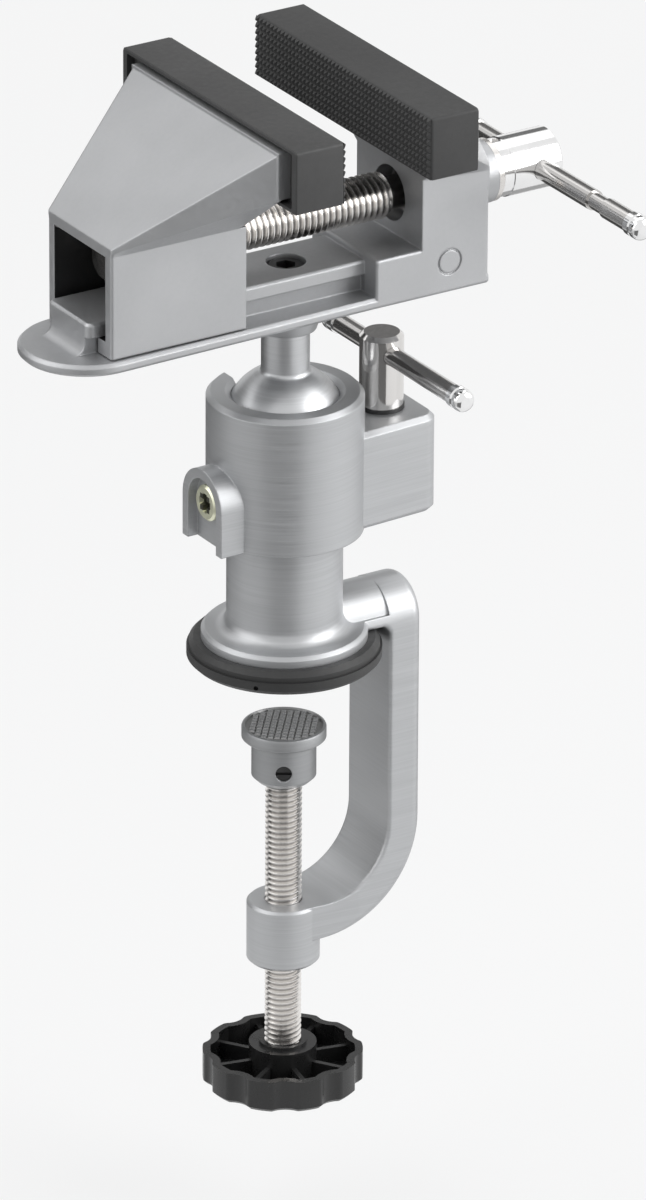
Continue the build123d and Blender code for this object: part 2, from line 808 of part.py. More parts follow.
def base_plate():
    """Base plate with its rounded end under the moving jaw."""
    outline = [(body_back_x, body_half), (body_step_x, body_half), (plate_end_x, plate_end_r)]
    outline += [(x, -y) for x, y in reversed(outline)]
    plate = upright(outline, plate_bottom, plate_top)
    plate += rod(plate_end_r, plate_bottom, plate_top, x=plate_end_x)
    rims = plate.edges().group_by(Axis.Z)
    return chamfer([e for e in rims[-1] + rims[0] if e.center().X < body_back_x - 1], plate_edge)


def rail():
    """Rail with undercut sides that the moving jaw's lips reach under."""
    end = body_step_x + 1
    solid = block(rail_end_x, end, -rail_web_half, rail_web_half, plate_top - rail_root, rail_top)
    solid += block(rail_end_x, end, -rail_half, rail_half, rail_under, rail_top)
    noses = [e for e in solid.edges().filter_by(Axis.Z) if near(e.center().X, rail_end_x)]
    solid = fillet([e for e in noses if e.center().Z > rail_under], rail_nose_r)
    tops = solid.edges().group_by(Axis.Z)[-1]
    return chamfer([e for e in tops if e.center().X < body_step_x], rail_edge)


def stud_boss():
    """Tapered boss under the base plate that stands on the ball's neck."""
    return turned(
        [
            (0, stud_top + fit),
            (stud_boss_low_r, stud_top + fit),
            (stud_boss_r, plate_bottom),
            (stud_boss_r, plate_bottom + 1),
            (0, plate_bottom + 1),
        ]
    )


def fixed_jaw():
    """Fixed jaw: the step, the upright body, the flared head and the plate for its cover."""
    solid = block(body_step_x, body_back_x, -body_half, body_half, plate_bottom + plate_edge, body_step_z)
    solid += block(jaw_face_x, body_back_x, -body_half, body_half, body_step_z - 1, shoulder_z)
    corners = [e for e in solid.edges().filter_by(Axis.Z) if near(e.center().X, body_back_x)]
    corners += [e for e in solid.edges().filter_by(Axis.Z) if near(e.center().X, body_step_x)]
    solid = fillet(corners, edge_round)
    tops = solid.edges().filter_by(Axis.X)
    solid = fillet([e for e in tops if near(e.center().Z, body_step_z)], edge_round)
    back = (body_back_x, body_half, shoulder_z, roof_z)
    solid += jaw_flare(back, (jaw_face_x, cheek_z), fixed_plate_low)
    plate_x = fixed_cover_x - jaw_plate_reach
    plate_high = fixed_plate_low + jaw_plate_h
    return solid + block(plate_x, jaw_face_x + 1, -jaw_half, jaw_half, fixed_plate_low, plate_high)


def side_mark():
    """Round groove in the body's side."""
    start = -body_half - 1
    end = -body_half + side_mark_depth
    ring = rod_y(side_mark_r, start, end, x=side_mark_x, z=side_mark_z)
    return ring - rod_y(side_mark_r - side_mark_w, start, end, x=side_mark_x, z=side_mark_z)


def vise_body():
    """Base plate with its rail, the fixed jaw and the boss for the ball stud, in one casting."""
    solid = base_plate() + rail()
    toe = [e for e in solid.edges().filter_by(Axis.Y) if near(e.center().Z, plate_top)]
    solid = fillet([e for e in toe if near(e.center().X, rail_end_x)], rail_toe_r)
    solid += fixed_jaw()
    solid += rod_x(back_boss_r, body_back_x - 1, back_boss_x, z=screw_z)
    solid += stud_boss()
    solid -= side_mark()
    solid -= rod(bolt_r + fit, stud_top - 1, counterbore_floor + 1)
    solid -= rod(counterbore_r, counterbore_floor, rail_top + 1)
    solid -= rod_x(journal_r + fit, jaw_face_x - 1, back_boss_x + 1, z=screw_z)
    return solid - rod_x(front_bore_r, jaw_face_x - 1, shoulder_x + shoulder_h + fit, z=screw_z)


def cover(plate_low):
    """Rubber cap for a jaw plate, with its open back at X = 0 and its working face at +X."""
    low = plate_low - cover_wall
    high = low + cover_h
    solid = block(0, cover_t, -cover_half, cover_half, low, high)
    solid = chamfer(solid.edges(), cover_edge)
    slot_half = jaw_half + fit
    slot_high = plate_low + jaw_plate_h + fit
    solid -= block(-1, jaw_plate_reach + fit, -slot_half, slot_half, plate_low - fit, slot_high)
    mouth_half = cover_half - cover_mouth_end
    mouth_low = low + cover_mouth_wall
    mouth_high = high - cover_mouth_wall
    return solid - block(-1, cover_mouth, -mouth_half, mouth_half, mouth_low, mouth_high)


def fixed_jaw_cover():
    """Cover of the fixed jaw: its working face looks towards -X."""
    return Pos(fixed_cover_x, 0, 0) * Rot(0, 0, 180) * cover(fixed_plate_low)


def moving_jaw_cover():
    """Cover of the moving jaw: its working face looks towards +X."""
    return Pos(moving_cover_x, 0, 0) * cover(moving_plate_low)


# ---- moving jaw ----
def flare_hollow():
    """Cored space under the roof, from the open back to the nut's wall."""
    rise = moving_plate_low + jaw_plate_h - roof_z
    spread = jaw_half - slide_half
    web_share = (web_back_x - slide_back_x) / slide_len
    web_roof = roof_z + rise * web_share - slide_flare_t
    web_wing = slide_inner + spread * web_share - slide_ceiling_t
    sill = shoulder_z - 2 * slide_ceiling_t
    back = mirrored([(slide_inner, sill), (slide_inner, roof_z - slide_roof_t)])
    front = mirrored([(slide_inner, sill), (web_wing, web_roof)])
    return lofted([(slide_back_x - 0.01, back), (web_back_x, front)])


def moving_jaw():
    """Hollow cast slide that runs on the rail, with the flared head and the wall for the nut."""
    solid = block(slide_back_x, slide_front_x, -slide_half, slide_half, slide_bottom, shoulder_z)
    back = (slide_back_x, slide_half, shoulder_z, roof_z)
    solid += jaw_flare(back, (jaw_place, shoulder_z), moving_plate_low)
    sides = [e for e in solid.edges().filter_by(Axis.Z) if near(abs(e.center().Y), slide_half)]
    solid = fillet([e for e in sides if near(e.center().X, slide_back_x)], edge_round)
    before = slide_back_x - 1
    after = slide_front_x + 1
    solid -= block(before, web_back_x, -slide_inner, slide_inner, lip_top, shoulder_z - slide_ceiling_t)
    solid -= flare_hollow()
    solid -= block(before, after, -slide_inner, slide_inner, lip_top, web_low)
    solid -= block(before, after, -lip_half, lip_half, slide_bottom - 1, web_low)
    plate_x = moving_cover_x + jaw_plate_reach
    plate_high = moving_plate_low + jaw_plate_h
    solid += block(jaw_place - 1, plate_x, -jaw_half, jaw_half, moving_plate_low, plate_high)
    return solid - rod_x(nut_r + slip, web_back_x - 1, after, z=screw_z)


def jaw_nut():
    """Threaded bush pressed into the wall of the moving jaw from behind."""
    flange_x = web_back_x - nut_flange_h
    solid = rod_x(nut_r, web_back_x, jaw_place, z=screw_z)
    solid += rod_x(nut_flange_r, flange_x, web_back_x, z=screw_z)
    return solid - rod_x(screw_r + fit, flange_x - 1, jaw_place + 1, z=screw_z)


# ---- vise screw ----
def head_start_x():
    """Where the screw head's collar begins, behind the washer."""
    return back_boss_x + thrust_washer_h + 2 * fit


def pin_hole():
    """Bore of the pin through the collar and the journal."""
    middle = (head_start_x() + collar_x) / 2
    reach = 2 * collar_r
    return rod(head_pin_r + slip, screw_z - reach, screw_z + reach, x=middle)


def lead_screw():
    """Vise screw: thread, turned relief, shoulder and the journal in the fixed jaw."""
    solid = rod_x(screw_r, screw_end_x, thread_end_x, z=screw_z)
    ends = solid.edges().filter_by(GeomType.CIRCLE)
    solid = chamfer([e for e in ends if near(e.center().X, screw_end_x)], screw_point)
    solid += rod_x(relief_r, thread_end_x, shoulder_x, z=screw_z)
    solid += rod_x(screw_r, shoulder_x, shoulder_x + shoulder_h, z=screw_z)
    solid += rod_x(journal_r, shoulder_x + shoulder_h, journal_end_x, z=screw_z)
    return solid - pin_hole()


def thrust_washer():
    """Washer between the fixed jaw's boss and the screw head."""
    start = back_boss_x + fit
    end = start + thrust_washer_h
    solid = rod_x(thrust_washer_r, start, end, z=screw_z)
    return solid - rod_x(journal_r + fit, start - 1, end + 1, z=screw_z)


def screw_head():
    """Chromed head with its collar, pinned on the journal and drilled for the handle."""
    start = head_start_x()
    solid = rod_x(collar_r, start, collar_x, z=screw_z)
    solid += rod_x(head_r, collar_x, head_x, z=screw_z)
    ends = solid.edges().filter_by(GeomType.CIRCLE)
    solid = chamfer([e for e in ends if near(e.center().X, head_x)], head_edge)
    ends = solid.edges().filter_by(GeomType.CIRCLE)
    solid = chamfer([e for e in ends if near(e.center().X, start)], collar_edge)
    solid -= rod_x(journal_r + slip, start - 1, journal_end_x, z=screw_z)
    solid -= rod_y(screw_bar_r + fit, -head_r - 1, head_r + 1, x=handle_x, z=screw_z)
    return solid - pin_hole()


def head_pin():
    """Pin through the collar and the journal."""
    middle = (head_start_x() + collar_x) / 2
    reach = collar_r - head_pin_sink
    return rod(head_pin_r, screw_z - reach, screw_z + reach, x=middle)


def screw_bar():
    """Handle bar of the vise screw, with a turned neck near each end."""
    solid = bar_with_spigots(screw_bar_r, screw_bar_from, screw_bar_to)
    for start in (screw_bar_from + bar_neck_at, screw_bar_to - bar_neck_at - bar_neck_len):
        end = start + bar_neck_len
        solid -= rod_y(screw_bar_r + 1, start, end) - rod_y(screw_bar_r - bar_neck_depth, start, end)
    return Pos(handle_x, 0, screw_z) * solid


def screw_bar_caps():
    """Caps of the vise screw's handle bar."""
    return Pos(handle_x, 0, screw_z) * bar_caps(screw_bar_r, screw_bar_from, screw_bar_to)


pieces = [
    clamp_frame,
    table_ring,
    clamp_screw,
    pressure_pad,
    pad_grub_screw,
    clamp_knob,
    ball_socket,
    column_bush,
    friction_screw,
    ball_seat,
    lock_pin,
    clamp_post,
    post_washer,
    post_clip,
    clamp_bar,
    clamp_bar_caps,
    ball_stud,
    stud_bolt,
    stud_washer,
    vise_body,
    fixed_jaw_cover,
    moving_jaw,
    moving_jaw_cover,
    jaw_nut,
    lead_screw,
    thrust_washer,
    screw_head,
    head_pin,
    screw_bar,
    screw_bar_caps,
]

os.makedirs("parts", exist_ok=True)
for piece in pieces:
    export_step(piece(), f"parts/{piece.__name__}.step")
    print(piece.__name__, flush=True)
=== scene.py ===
from math import cos, hypot, pi, radians, sin, tau

import bmesh
import bpy
from mathutils import Matrix, Vector

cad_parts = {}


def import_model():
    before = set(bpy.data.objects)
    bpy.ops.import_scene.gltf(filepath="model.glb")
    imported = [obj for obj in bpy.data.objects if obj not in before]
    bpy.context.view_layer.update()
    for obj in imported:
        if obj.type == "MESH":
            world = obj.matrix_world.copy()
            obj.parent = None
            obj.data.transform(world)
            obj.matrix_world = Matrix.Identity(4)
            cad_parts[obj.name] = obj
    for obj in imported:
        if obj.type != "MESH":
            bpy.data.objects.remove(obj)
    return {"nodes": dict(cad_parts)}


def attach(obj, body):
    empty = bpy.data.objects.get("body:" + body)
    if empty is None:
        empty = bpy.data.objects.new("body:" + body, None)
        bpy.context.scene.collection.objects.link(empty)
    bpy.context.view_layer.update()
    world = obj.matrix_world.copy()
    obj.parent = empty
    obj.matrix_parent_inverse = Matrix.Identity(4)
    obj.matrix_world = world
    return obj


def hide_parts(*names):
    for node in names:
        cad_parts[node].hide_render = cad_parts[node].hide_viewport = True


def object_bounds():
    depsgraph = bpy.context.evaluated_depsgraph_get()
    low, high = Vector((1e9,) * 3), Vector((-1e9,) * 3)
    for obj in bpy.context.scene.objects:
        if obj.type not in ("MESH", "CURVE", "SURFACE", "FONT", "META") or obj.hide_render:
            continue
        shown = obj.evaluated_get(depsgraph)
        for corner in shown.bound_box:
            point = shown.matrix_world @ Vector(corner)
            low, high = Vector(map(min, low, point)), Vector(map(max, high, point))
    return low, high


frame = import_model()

# Most CAD nodes keep their shape and get a procedural finish. Five are replaced by finer meshes: both
# screws with cut threads, both jaw covers with their studs, and the hatched pressure pad. In every
# table azimuth 0 is the -Y side and 90 the +X side, and angles are in degrees.

MM = 0.001
cad_low, cad_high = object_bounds()
cad_middle = (cad_low + cad_high) / 2

# ---- screws, in millimetres; outlines are points of (radius, place along the axis) ----
SCREW_THREAD = dict(radius=5.1, pitch=1.5, start=-45.4, end=24.2)
SCREW_AXIS_Z = 102.2
SCREW_SHAFT = [(3.6, 24.1), (3.6, 29.6), (5.1, 29.6), (5.1, 31.0), (4.0, 31.0), (4.0, 58.0)]
CLAMP_THREAD = dict(radius=4.0, pitch=1.25, start=-99.18, end=-29.3)
CLAMP_PIN = [(3.2, -29.4), (3.2, -26.2), (2.3, -26.2), (2.3, -23.8), (3.2, -23.8), (3.2, -19.9)]
THREAD_DEPTH = 0.58          # shares of the pitch: depth, and widths of the crest and of the root
THREAD_CREST = 0.14
THREAD_ROOT = 0.16
THREAD_STEPS = 72            # points in one turn

# ---- jaw covers, in millimetres ----
COVER_LENGTH = 70.0
COVER_HEIGHT = 14.2
COVER_DEPTH = 12.5           # from the back to the tips of the studs
COVER_ROUND = 0.7            # round edges of the working face
COVER_ROUND_STEPS = 3
COVER_BACK_EDGE = 0.25       # small chamfer round the back
COVER_LIP = 0.9              # wall round the mouth at the back, and at the cover's ends
COVER_END_LIP = 1.8
COVER_MOUTH_CORNER = 0.4
COVER_RECESS = 2.0           # depth of the mouth before the pocket for the jaw's plate
JAW_PLATE = dict(half=29.55, height=10.6, reach=9.6, corner=0.3)
CORNER_STEPS = 4
STUD_HEIGHT = 0.6
STUD_COLUMNS = 48
STUD_ROWS = 9
STUD_TIP = 0.16              # half width of a stud's blunt tip
STUD_VALLEY = 0.08           # plain strip on either side of a stud
STUD_MARGIN = 0.15           # plain strip round the studs
STUD_ROOT = 0.05             # how far a stud is sunk into the face
MOVING_COVER = dict(x=-19.25, low=118.7, side=1)
FIXED_COVER = dict(x=25.85, low=119.4, side=-1)

# ---- pressure pad, in millimetres ----
PAD = dict(radius=9.2, top=-16.2, disc=2.9, hub=7.04, bottom=-29.0, roof=-19.6, bore=3.25)
PAD_HUB_CHAMFER = 1.2
PAD_HUB_FILLET = 0.4
PAD_UNDER_EDGE = 0.3
PAD_TOP_EDGE = 0.4           # rounded through one middle point, which lies this far in:
PAD_TOP_EDGE_MIDDLE = 0.12
PAD_RIM = 0.7                # plain edge round the hatched field
PAD_RIM_SLOPE = 0.15
PAD_STEPS = 96
HATCH_PITCH = 1.45
HATCH_DEPTH = 0.4
HATCH_TURN = -38.0
HATCH_FOOT = 0.97            # half width of a square's foot, as a share of half the pitch
HATCH_TIP = 0.33             # half width of its top, as a share of the pitch
HATCH_ROOT = 0.05            # how far a square is sunk into the field's floor
HATCH_CLEAR = 1.2            # half pitches that a square's middle keeps from the rim
# the pad's groove faces get painted shade; this reach says where those faces lie
GROOVE_SHADE_REACH = (0.1, 0.01)   # groove faces: from so far below the field's floor to so far below its top
GRUB_Z = -25.0
GRUB_AZIMUTH = -122.0
GRUB_HOLE = 1.78
GRUB_START = 1.0             # how far inside the bore's wall the hole's cutter starts
GRUB_RIM = 0.2               # countersink of the hole
GRUB_STEPS = 40

# ---- mesh quality, in millimetres and degrees ----
ROUND_STEPS = 64
MERGE_DISTANCE = 1e-4
FLAT_DISTANCE = 1e-5
SHARP_ANGLE = 32
CORNERS = [(1, 1), (-1, 1), (-1, -1), (1, -1)]

# ---- finishes; places in metres ----
NOISE_MIDDLE = (0.3, 0.7)    # where most values of a noise lie
BEVEL_SAMPLES = 6
# painted shade in hollows: low corner, high corner, share of the base colour that is left inside
# painted shade in the rail's undercut channel
RAIL_CHANNEL_SHADE = ((-0.045, -0.00835, 0.0849), (0.03, 0.00835, 0.08875), 0.75)
# painted shade inside the moving jaw's hollow core
JAW_CORE_SHADE = ((-0.05085, -0.0105, 0.0862), (-0.0293, 0.0105, 0.1086), 0.12)
# painted shade in the friction screw's cross recess
CROSS_RECESS_SHADE = ((-0.02034, -0.0019, 0.0385), (-0.0185, 0.0019, 0.0423), 0.12)
# painted shade in grooves: axis (0 is X, 2 is Z), a point of it, radii of root and crest, share at root
VISE_GROOVE_SHADE = (0, (0, 0, SCREW_AXIS_Z * MM), 0.0043, 0.0049, 0.4)
CLAMP_GROOVE_SHADE = (2, (0, 0, 0), 0.0033, 0.0037, 0.6)

# ---- camera, fitted to the photograph; distances in millimetres ----
CAMERA_AZIMUTH = -32.06
CAMERA_ELEVATION = 24.34
CAMERA_ROLL = 0.31
CAMERA_DISTANCE = 2663.13
CAMERA_SIDE = 8.33
CAMERA_RISE = 11.94
CAMERA_CLIP = 100
FOCAL_PIXELS = 12383.72
PHOTO_HEIGHT = 1200
SENSOR = 36.0

# ---- studio, in metres and watts ----
FLOOR_SIZE = 30.0
FLOOR_DROP = 0.03            # room below the knob, which moves down with its screw
FLOOR_COLOR = 0.8
PAPER_WHITE = 0.965
PAPER_FADE = (0.4, 1.6, 0.7, 1.0)  # between these distances the floor's glow grows from 0.7 to 1
ROOM_COLOR = (0.97, 0.985, 1.0, 1)
ROOM_STRENGTH = 0.5
# name, azimuth, elevation, distance, width, height, power
LAMPS = [
    ("key_right", 48, 25, 1.3, 1.0, 1.2, 14),
    ("fill_left", -110, 35, 1.4, 1.5, 1.6, 10),
    ("top", 150, 65, 1.4, 1.4, 1.1, 3),
]
# name, azimuth of the middle, degrees to either side, near and far edge, tone
FLOOR_FLAGS = [
    ("flag_front", -34, 29, 0.13, 1.0, 0.17),
    ("flag_left", -92, 29, 0.13, 0.9, 0.6),
    ("flag_back", -150, 20, 0.1, 0.33, 0.55),
    ("flag_near", 162, 28, 0.1, 0.33, 0.08),
    ("flag_right", 113, 21, 0.12, 0.3, 0.4),
    ("flag_far", -172, 51, 0.33, 0.9, 0.08),
]
FLAG_STEPS = 8
# name, azimuth, elevation, distance, width, height, tone
HIGH_FLAGS = [
    ("flag_high", 160, 30, 0.9, 0.75, 0.38, 0.19),
    ("flag_side", 208, 10, 0.9, 0.7, 0.75, 0.06),
]


# ---------------------------------------------------------------- mesh helpers
def piece(name, bm, body, slot, material, *nodes):
    """Turns a bmesh in millimetres into a piece that rides on a body and stands for CAD nodes."""
    bmesh.ops.remove_doubles(bm, verts=bm.verts, dist=MERGE_DISTANCE)
    bmesh.ops.dissolve_degenerate(bm, edges=bm.edges, dist=FLAT_DISTANCE)
    bmesh.ops.recalc_face_normals(bm, faces=bm.faces)
    bmesh.ops.scale(bm, vec=(MM, MM, MM), verts=bm.verts)
    obj = add_object(name, bm)
    obj.data.materials.append(material)
    obj.data.shade_smooth()
    obj.data.set_sharp_from_angle(angle=radians(SHARP_ANGLE))
    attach(obj, body)
    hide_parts(*nodes)
    return obj


def add_object(name, bm):
    """Makes an object of a bmesh and frees the bmesh."""
    mesh = bpy.data.meshes.new(name)
    bm.to_mesh(mesh)
    bm.free()
    return link_object(name, mesh)


def link_object(name, data):
    obj = bpy.data.objects.new(name, data)
    bpy.context.scene.collection.objects.link(obj)
    return obj


def add_rings(bm, rings):
    """Skins a list of closed rings, each a list of as many points, and caps both ends."""
    rows = [[bm.verts.new(point) for point in ring] for ring in rings]
    count = len(rows[0])
    for a, b in zip(rows, rows[1:]):
        for i in range(count):
            j = (i + 1) % count
            bm.faces.new((a[i], a[j], b[j], b[i]))
    bm.faces.new(list(reversed(rows[0])))
    bm.faces.new(rows[-1])


def polar(radius, turn, z):
    """Point at a share of a turn round Z."""
    return (radius * cos(tau * turn), radius * sin(tau * turn), z)


def add_turned(bm, profile, steps=ROUND_STEPS):
    """Closed solid of revolution about Z from (radius, height) points."""
    add_rings(bm, [[polar(radius, i / steps, z) for i in range(steps)] for radius, z in profile])


def add_thread(bm, radius, pitch, start, end):
    """Single-start thread about Z, chamfered at both ends."""
    core = radius - THREAD_DEPTH * pitch
    rise = (1 - THREAD_CREST - THREAD_ROOT) / 2
    profile = [
        (0.0, core),
        (THREAD_ROOT / 2, core),
        (THREAD_ROOT / 2 + rise, radius),
        (THREAD_ROOT / 2 + rise + THREAD_CREST, radius),
        (1 - THREAD_ROOT / 2, core),
    ]
    # Turns in excess of the length are pressed flat against the two ends, then merged there.
    turns = int((end - start) / pitch) + 3
    rows = []
    for turn in range(turns):
        for share, level in profile:
            row = []
            for j in range(THREAD_STEPS):
                z = start + (turn - 1 + share + j / THREAD_STEPS) * pitch
                z = min(max(z, start), end)
                chamfer = core + min(z - start, end - z)
                row.append(bm.verts.new(polar(min(level, chamfer), j / THREAD_STEPS, z)))
            rows.append(row)
    # A row's last point is followed by the first point of the same row one turn on.
    one_turn = len(profile)
    for i in range(len(rows) - 1):
        low, high = rows[i], rows[i + 1]
        for j in range(THREAD_STEPS - 1):
            bm.faces.new((low[j], low[j + 1], high[j + 1], high[j]))
        if i + 1 + one_turn < len(rows):
            next_low, next_high = rows[i + one_turn], rows[i + 1 + one_turn]
            bm.faces.new((low[-1], next_low[0], next_high[0], high[-1]))
    bmesh.ops.remove_doubles(bm, verts=bm.verts, dist=MERGE_DISTANCE)
    for z in (start, end):
        ring = {v for v in bm.verts if abs(v.co.z - z) < MERGE_DISTANCE}
        edges = [e for e in bm.edges if e.verts[0] in ring and e.verts[1] in ring]
        bmesh.ops.contextual_create(bm, geom=edges)


def cut(bm, cutter):
    """Takes one bmesh away from another and gives the result as a bmesh."""
    for part in (bm, cutter):
        bmesh.ops.recalc_face_normals(part, faces=part.faces)
    solid, tool = add_object("solid", bm), add_object("cutter", cutter)
    modifier = solid.modifiers.new("cut", "BOOLEAN")
    modifier.operation = "DIFFERENCE"
    modifier.solver = "EXACT"
    modifier.object = tool
    evaluated = solid.evaluated_get(bpy.context.evaluated_depsgraph_get())
    result = bmesh.new()
    result.from_mesh(evaluated.to_mesh())
    for obj in (solid, tool):
        mesh = obj.data
        bpy.data.objects.remove(obj)
        bpy.data.meshes.remove(mesh)
    return result


# ---------------------------------------------------------------- shader helpers
def connect(tree, value, socket):
    """Links another node's output to an input, or sets the input to a constant."""
    if isinstance(value, bpy.types.NodeSocket):
        tree.links.new(value, socket)
    else:
        socket.default_value = value


def add_node(tree, kind, **inputs):
    """New node whose inputs are given by name, with _ for a space."""
    made = tree.nodes.new(kind)
    for name, value in inputs.items():
        connect(tree, value, made.inputs[name.replace("_", " ")])
    return made


def compute(tree, kind, operation, *values):
    """Math or vector math node on the given values."""
    made = tree.nodes.new(kind)
    made.operation = operation
    for value, socket in zip(values, made.inputs):
        connect(tree, value, socket)
    return made


def scalar(tree, operation, *values):
    return compute(tree, "ShaderNodeMath", operation, *values).outputs[0]


def length(tree, vector):
    return compute(tree, "ShaderNodeVectorMath", "LENGTH", vector).outputs["Value"]


def map_range(tree, value, start, end, low, high):
    """Maps start..end to low..high."""
    limits = dict(From_Min=start, From_Max=end, To_Min=low, To_Max=high)
    return add_node(tree, "ShaderNodeMapRange", Value=value, **limits).outputs["Result"]


def mix_colors(tree, factor, first, second, blend="MIX"):
    made = tree.nodes.new("ShaderNodeMix")
    made.data_type = "RGBA"
    made.blend_type = blend
    for value, index in ((factor, 0), (first, 6), (second, 7)):  # 6 and 7 are its colour inputs
        connect(tree, value, made.inputs[index])
    return made.outputs[2]


def object_space(tree):
    return add_node(tree, "ShaderNodeTexCoord").outputs["Object"]


def grey(value, warm=0.0, green=0.0):
    """Grey whose red and blue are parted by warm and whose green is raised by green."""
    return (value * (1 + warm), value * (1 + green), value * (1 - warm))


def cool(value):
    """Silver's faintly blue grey."""
    return (value * 0.985, value, value * 1.02)


class Shader:
    """A Principled material that is built up from a few named steps."""

    def __init__(self, name, color, roughness, metallic=0.0):
        self.material = bpy.data.materials.new(name)
        self.material.use_nodes = True
        self.tree = self.material.node_tree
        self.bsdf = self.tree.nodes["Principled BSDF"]
        self.bsdf.inputs["Base Color"].default_value = (*color, 1)
        self.bsdf.inputs["Roughness"].default_value = roughness
        self.bsdf.inputs["Metallic"].default_value = metallic

    def noise(self, scale, stretch=(1, 1, 1), detail=3.0):
        """Noise in object space, stretched along the axes."""
        place = object_space(self.tree)
        mapped = add_node(self.tree, "ShaderNodeMapping", Vector=place, Scale=stretch)
        pattern = dict(Vector=mapped.outputs["Vector"], Scale=scale, Detail=detail)
        return add_node(self.tree, "ShaderNodeTexNoise", **pattern).outputs["Fac"]

    def spread(self, value, low, high):
        """Maps the middle of a noise's range to low..high."""
        return map_range(self.tree, value, *NOISE_MIDDLE, low, high)

    def tint(self, noise, dark, light):
        """Lets the base colour vary between two colours."""
        share = self.spread(noise, 0, 1)
        color = mix_colors(self.tree, share, (*dark, 1), (*light, 1))
        connect(self.tree, color, self.bsdf.inputs["Base Color"])

    def rough(self, noise, low, high):
        """Lets the roughness vary between two values."""
        connect(self.tree, self.spread(noise, low, high), self.bsdf.inputs["Roughness"])

    def bump(self, *layers, edge=None):
        """Stacks bumps, each a noise, a strength and a depth in metres, over softened edges."""
        normal = None
        if edge:
            bevel = add_node(self.tree, "ShaderNodeBevel", Radius=edge)
            bevel.samples = BEVEL_SAMPLES
            normal = bevel.outputs["Normal"]
        for value, strength, depth in layers:
            relief = dict(Height=value, Strength=strength, Distance=depth)
            made = add_node(self.tree, "ShaderNodeBump", **relief)
            if normal:
                connect(self.tree, normal, made.inputs["Normal"])
            normal = made.outputs["Normal"]
        connect(self.tree, normal, self.bsdf.inputs["Normal"])

    def paint_shade(self, factor, color):
        """Paints shade by multiplying the tinted base colour by a colour, as the factor says."""
        socket = self.bsdf.inputs["Base Color"]
        plain = socket.links[0].from_socket
        connect(self.tree, mix_colors(self.tree, factor, plain, color, "MULTIPLY"), socket)

    def paint_shade_inside(self, low, high, share):
        """Paints shade inside a box, where only a share of the base colour is left."""
        place = add_node(self.tree, "ShaderNodeSeparateXYZ", Vector=object_space(self.tree))
        inside = 1.0
        for value, start, end in zip(place.outputs, low, high):
            for bound, operation in ((start, "GREATER_THAN"), (end, "LESS_THAN")):
                test = scalar(self.tree, operation, value, bound)
                inside = scalar(self.tree, "MULTIPLY", inside, test)
        self.paint_shade(inside, (share, share, share, 1))

    def paint_groove_shade(self, axis, centre, root, crest, share):
        """Painted shade in a thread: darker from its crest to its root, where a share is left."""
        kind = "ShaderNodeVectorMath"
        offset = compute(self.tree, kind, "SUBTRACT", object_space(self.tree), centre)
        across = [0.0 if i == axis else 1.0 for i in range(3)]
        flat = compute(self.tree, kind, "MULTIPLY", offset.outputs[0], across)
        radius = length(self.tree, flat.outputs[0])
        self.paint_shade(1.0, map_range(self.tree, radius, root, crest, share, 1.0))


# ---------------------------------------------------------------- finishes
def cast_metal(name, hollow):
    """Satin silver of the castings: even grain, faint clouds, and painted shade inside a box."""
    shader = Shader(name, grey(0.44), roughness=0.45, metallic=0.78)
    shader.tint(shader.noise(55, detail=2), (0.418, 0.423, 0.432), (0.456, 0.461, 0.47))
    shader.rough(shader.noise(900), 0.40, 0.50)
    grain, dimples = shader.noise(2600), shader.noise(320)
    shader.bump((grain, 0.2, 0.00006), (dimples, 0.06, 0.0001), edge=0.0005)
    # painted shade inside the box that covers the casting's hollow
    shader.paint_shade_inside(*hollow)
    return shader.material


def turned_metal(name, value, roughness, metallic):
    """Machined finish: fine rings round the upright axis over a satin ground."""
    shader = Shader(name, grey(value), roughness, metallic=metallic)
    rings = shader.noise(1.0, stretch=(50, 50, 3600), detail=4)
    shader.tint(rings, cool(value * 0.93), cool(value * 1.05))
    shader.rough(rings, roughness * 0.9, roughness * 1.12)
    shader.bump((rings, 0.1, 0.00004), (shader.noise(2200), 0.12, 0.00005), edge=0.0004)
    return shader.material


def bright_steel(name, value, roughness, streak, warm=0.0, green=0.0, shaded_recess=None, thread=None):
    """Plated or polished steel with hair-fine marks.

    streak gives the marks' frequency along each axis, the next argument a box with painted shade
    inside, and thread a thread that gets painted shade from its crest to its root."""
    shader = Shader(name, grey(value, warm, green), roughness, metallic=1.0)
    marks = shader.noise(1.0, stretch=streak, detail=4)
    shader.tint(marks, grey(value * 0.93, warm, green), grey(value, warm, green))
    shader.rough(marks, roughness * 0.8, roughness * 1.3)
    shader.bump((marks, 0.12, 0.00002))
    # painted shade inside the recess box
    if shaded_recess:
        shader.paint_shade_inside(*shaded_recess)
    # painted shade from the thread's crest down to its root
    if thread:
        shader.paint_groove_shade(*thread)
    return shader.material


def rubber(name, dark, light, roughness):
    """Moulded rubber with a fine grain."""
    shader = Shader(name, grey(light), roughness)
    shader.bsdf.inputs["Specular IOR Level"].default_value = 0.45
    shader.tint(shader.noise(70), grey(dark), grey(light))
    shader.rough(shader.noise(700), roughness * 0.9, roughness * 1.1)
    shader.bump((shader.noise(1900), 0.25, 0.00008))
    return shader.material


def gloss_plastic():
    """Black moulded plastic of the knob."""
    shader = Shader("knob_black", grey(0.012), roughness=0.3)
    shader.tint(shader.noise(90), grey(0.009), grey(0.014))
    shader.rough(shader.noise(420), 0.24, 0.36)
    shader.bump((shader.noise(900), 0.1, 0.00006))
    return shader.material


def satin_plastic():
    """White plastic of the bush and the ball's seat."""
    shader = Shader("acetal_white", grey(0.78), roughness=0.45)
    shader.tint(shader.noise(120), grey(0.72), grey(0.8))
    shader.bump((shader.noise(1500), 0.1, 0.00005))
    return shader.material


# nickel thread with painted shade in its grooves
def thread_nickel(name, thread_groove_shade):
    return bright_steel(name, 0.8, 0.2, (700, 700, 700), warm=0.03, thread=thread_groove_shade)
